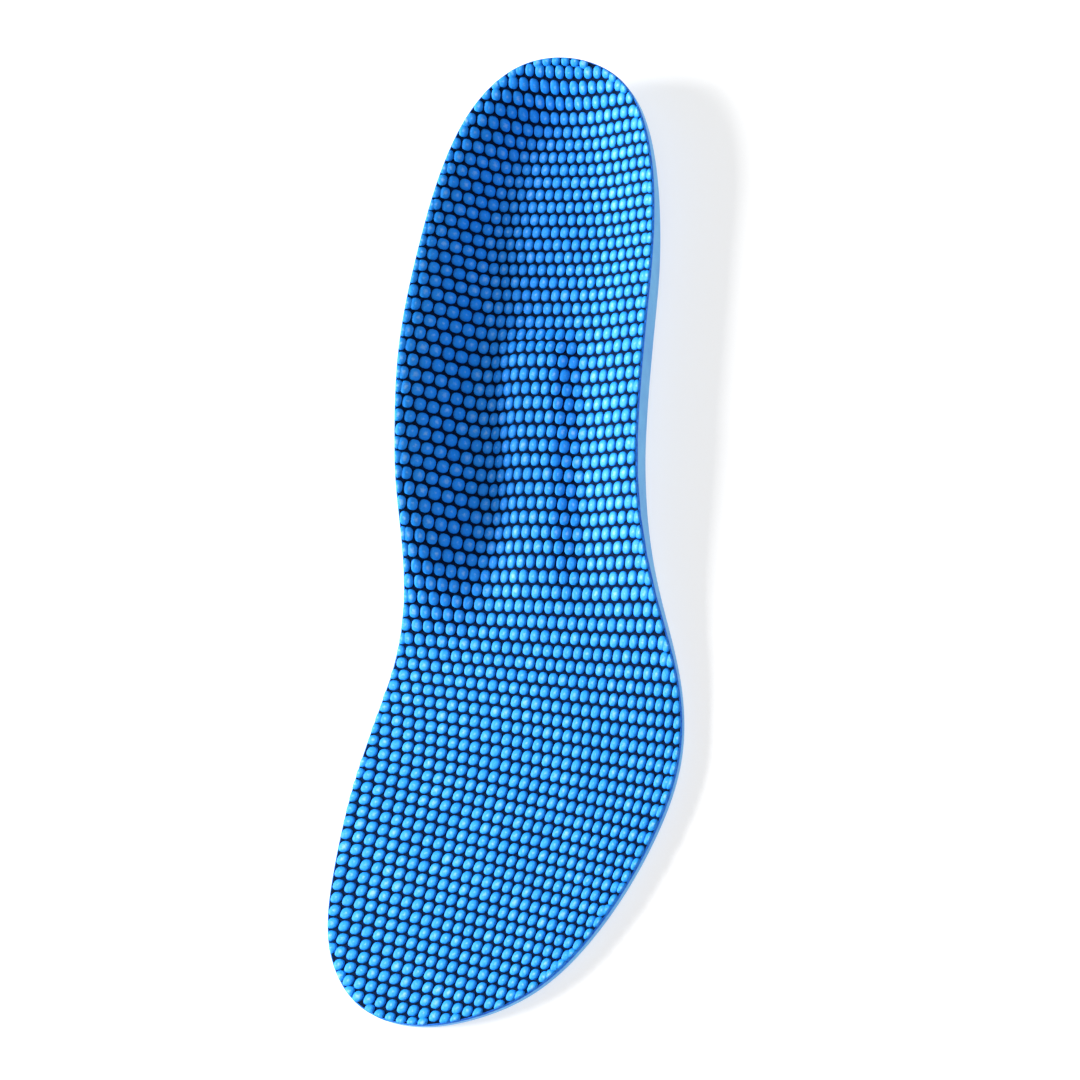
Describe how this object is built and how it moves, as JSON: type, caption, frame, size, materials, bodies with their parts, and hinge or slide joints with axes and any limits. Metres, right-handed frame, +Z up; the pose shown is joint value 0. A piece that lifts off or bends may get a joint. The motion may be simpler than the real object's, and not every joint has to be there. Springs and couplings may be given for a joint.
{
  "type": "cushioned insole",
  "caption": "Left-foot cushioned insole: a shaped foam base with heel cup and arch flank, a mesh fabric cover, gel pads and an arch shank underneath.",
  "frame": {"origin": "bottom centre of the insole's box, on the plane it rests on", "axes": "+Z up, toes towards -Y, heel towards +Y, lateral (outer) side towards +X, medial (arch) side towards -X"},
  "size_m": [0.1031, 0.2944, 0.0286],
  "materials": {
    "foam": "light blue moulded polyurethane foam, matt skin",
    "mesh_fabric": "two-tone knitted mesh, raised light blue cells on a near-black ground",
    "forefoot_gel": "blue gel, satin",
    "heel_gel": "lilac blue gel, satin",
    "shank": "royal blue moulded TPU, satin",
    "adhesive": "clear cement film"
  },
  "bodies": {
    "root": {"foam_base": "foam", "top_cover": "mesh_fabric", "cover_adhesive": "adhesive", "forefoot_pad": "forefoot_gel", "forefoot_pad_adhesive": "adhesive", "arch_shank": "shank", "arch_shank_adhesive": "adhesive", "heel_pad": "heel_gel", "heel_pad_adhesive": "adhesive"}
  },
  "joints": []
}
